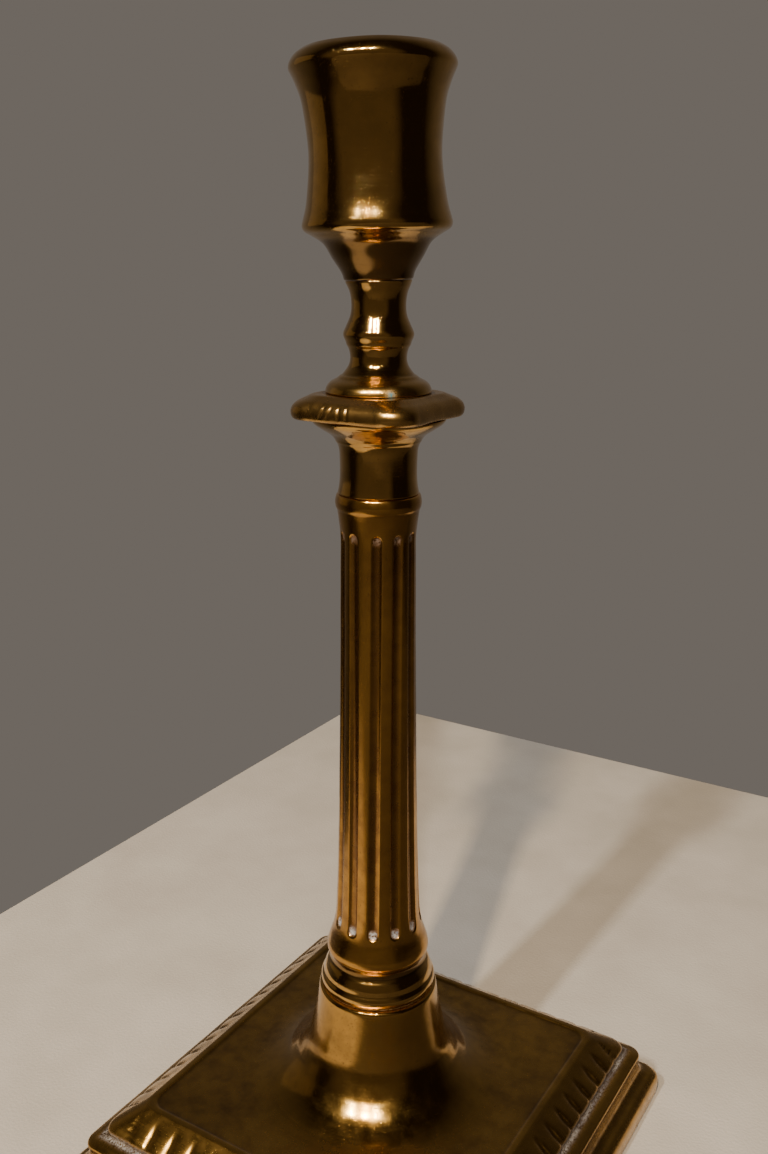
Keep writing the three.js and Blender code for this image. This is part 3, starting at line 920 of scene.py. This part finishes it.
def foot_nut():
    low, high = (corner.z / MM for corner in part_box("foot_nut"))
    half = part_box("foot_nut")[1].x / MM
    hole = THREAD_HOLE
    path = trace(
        (hole + 0.4, low),
        line(half - 0.5, low),
        line(half, low + 0.5),
        line(half, high - 0.5),
        line(half - 0.5, high),
        line(hole + 0.4, high),
        line(hole, high - 0.4),
        line(hole, low + 0.4),
        line(hole + 0.4, low),
        passes=1,
    )
    square = RoundedSquare(
        corner=1.3, straight=2.4, spacing=0.3, circle_below=hole + 0.4, square_from=4.3
    )
    return skin("nut_body", rough_cast(square.sweep(path), amount=0.08, size=3.0, seed=83.0))


stand_for(candle_socket(), "candle_socket", polished)
stand_for(socket_screw(), "socket_screw", old_steel)
stand_for(knop_neck(), "knop_neck", polished)
stand_for(drip_pan(), "drip_pan", satin)
stand_for(capital(), "capital", polished)
stand_for(column_shaft(), "column_shaft", fluted)
stand_for(shaft_collar(), "shaft_collar", polished)
stand_for(foot(), "foot", foot_brass)
stand_for(tie_rod(), "tie_rod", dark_iron)
stand_for(foot_washer(), "foot_washer", dark_iron)
stand_for(foot_nut(), "foot_nut", dark_iron)


# ---- Camera, floor and light ------------------------------------------------------------

CAMERA_AZIMUTH = 31.8  # degrees from the view along +Y
CAMERA_DISTANCE = 0.2415  # metres from the column's axis, level
CAMERA_ASIDE = 0.00126  # metres to the camera's right
CAMERA_HEIGHT = 0.2186  # metres
CAMERA_PITCH = 15.67  # degrees down
CAMERA_ROLL = 0.15  # degrees
CAMERA_LENS = 35.0  # millimetres, on a 36 mm sensor

# Degrees to the camera's left of each lamp.
WARM_LAMP = 16.5
COOL_LAMP = 34.6
NEAR_LAMP = 2.5
LEFT_FILL = 108
LAMP_AIM = 0.13  # height in metres that they all point at
LAMP_DISTANCE = 1.3
LAMP_SIZE = (0.04, 0.13)  # metres wide and high
WARM_LIGHT = (1, 0.74, 0.44)
COOL_LIGHT = (1, 0.93, 0.84)
FILL_LIGHT = (1, 0.75, 0.42)
LIT_SIDE = 14.0  # degrees to the camera's left, where the room in front is less dark
SHADED_SIDE = 35.0  # degrees to the camera's right, where the cloth is painted dark in the brass's reflections
BLACK = (0, 0, 0, 1)
ROOM_DARK = (0.012, 0.008, 0.006, 1)
ROOM_LIT = (0.07, 0.055, 0.036, 1)
ROOM_WALL = (0.16, 0.14, 0.12, 1)
BACKDROP = (0.158, 0.139, 0.121, 1)
FLOOR_LEFT, FLOOR_RIGHT, FLOOR_NEAR, FLOOR_FAR = -0.166, 0.8, -0.8, 0.25  # metres


def towards(azimuth, elevation=0.0):
    """Unit vector from the object towards a place at this azimuth and elevation."""
    a, e = math.radians(azimuth), math.radians(elevation)
    return Vector((math.sin(a) * math.cos(e), -math.cos(a) * math.cos(e), math.sin(e)))


def make_camera():
    back = towards(CAMERA_AZIMUTH)
    right = Vector((-back.y, back.x, 0))
    pitch = math.radians(CAMERA_PITCH)
    ahead = -back * math.cos(pitch) - Vector((0, 0, math.sin(pitch)))
    up = right.cross(ahead)
    turn = Matrix((right, up, -ahead)).transposed() @ Matrix.Rotation(
        math.radians(CAMERA_ROLL), 3, "Z"
    )
    data = bpy.data.cameras.new("camera")
    data.lens = CAMERA_LENS
    data.clip_start = 0.01
    camera = bpy.data.objects.new("camera", data)
    place = back * CAMERA_DISTANCE + right * CAMERA_ASIDE + Vector((0, 0, CAMERA_HEIGHT))
    camera.matrix_world = Matrix.Translation(place) @ turn.to_4x4()
    bpy.context.scene.collection.objects.link(camera)
    bpy.context.scene.camera = camera


def make_floor():
    corners = [
        (FLOOR_LEFT, FLOOR_NEAR, 0),
        (FLOOR_RIGHT, FLOOR_NEAR, 0),
        (FLOOR_RIGHT, FLOOR_FAR, 0),
        (FLOOR_LEFT, FLOOR_FAR, 0),
    ]
    mesh = bpy.data.meshes.new("floor")
    mesh.from_pydata(corners, [], [(0, 1, 2, 3)])
    mesh.materials.append(cloth("pale_cloth"))
    floor = bpy.data.objects.new("floor", mesh)
    bpy.context.scene.collection.objects.link(floor)


def softbox(name, left, elevation, distance, size, power, color):
    """A lamp this many degrees to the camera's left, that the camera doesn't see."""
    data = bpy.data.lights.new(name, "AREA")
    data.shape = "RECTANGLE"
    data.size, data.size_y = size
    data.energy = power
    data.color = color
    light = bpy.data.objects.new(name, data)
    aim = Vector((0, 0, LAMP_AIM))
    out = towards(CAMERA_AZIMUTH - left, elevation)
    light.location = aim + out * distance
    light.rotation_euler = out.to_track_quat("Z", "Y").to_euler()
    light.visible_camera = False
    bpy.context.scene.collection.objects.link(light)


def make_world():
    """A dim room: a grey wall behind the object, and dark in front of it but for the lit side."""
    n = Nodes(bpy.data.worlds.new("room"))
    direction = n.add("ShaderNodeTexCoord", output="Generated")
    ahead = n.dot(direction, -towards(CAMERA_AZIMUTH))
    wall = n.ramp(ahead, (0.0, ROOM_DARK), (0.95, ROOM_WALL))
    near_side = n.dot(direction, towards(CAMERA_AZIMUTH - LIT_SIDE))
    lit = n.ramp(near_side, (0.5, BLACK), (0.72, ROOM_LIT))
    both = n.mix(1.0, wall, lit, blend="ADD")
    seen = n.add("ShaderNodeLightPath", output="Is Camera Ray")
    background = n.add("ShaderNodeBackground", Color=n.mix(seen, both, BACKDROP))
    n.add("ShaderNodeOutputWorld", Surface=background)
    bpy.context.scene.world = n.owner


make_camera()
make_floor()
make_world()
softbox("warm_lamp", WARM_LAMP, 45, LAMP_DISTANCE, LAMP_SIZE, power=15, color=WARM_LIGHT)
softbox("cool_lamp", COOL_LAMP, 42, LAMP_DISTANCE, LAMP_SIZE, power=11, color=COOL_LIGHT)
softbox("near_lamp", NEAR_LAMP, 45, LAMP_DISTANCE, LAMP_SIZE, power=8, color=COOL_LIGHT)
softbox("left_fill", LEFT_FILL, 12, 1.2, (0.9, 0.7), power=0.17, color=FILL_LIGHT)
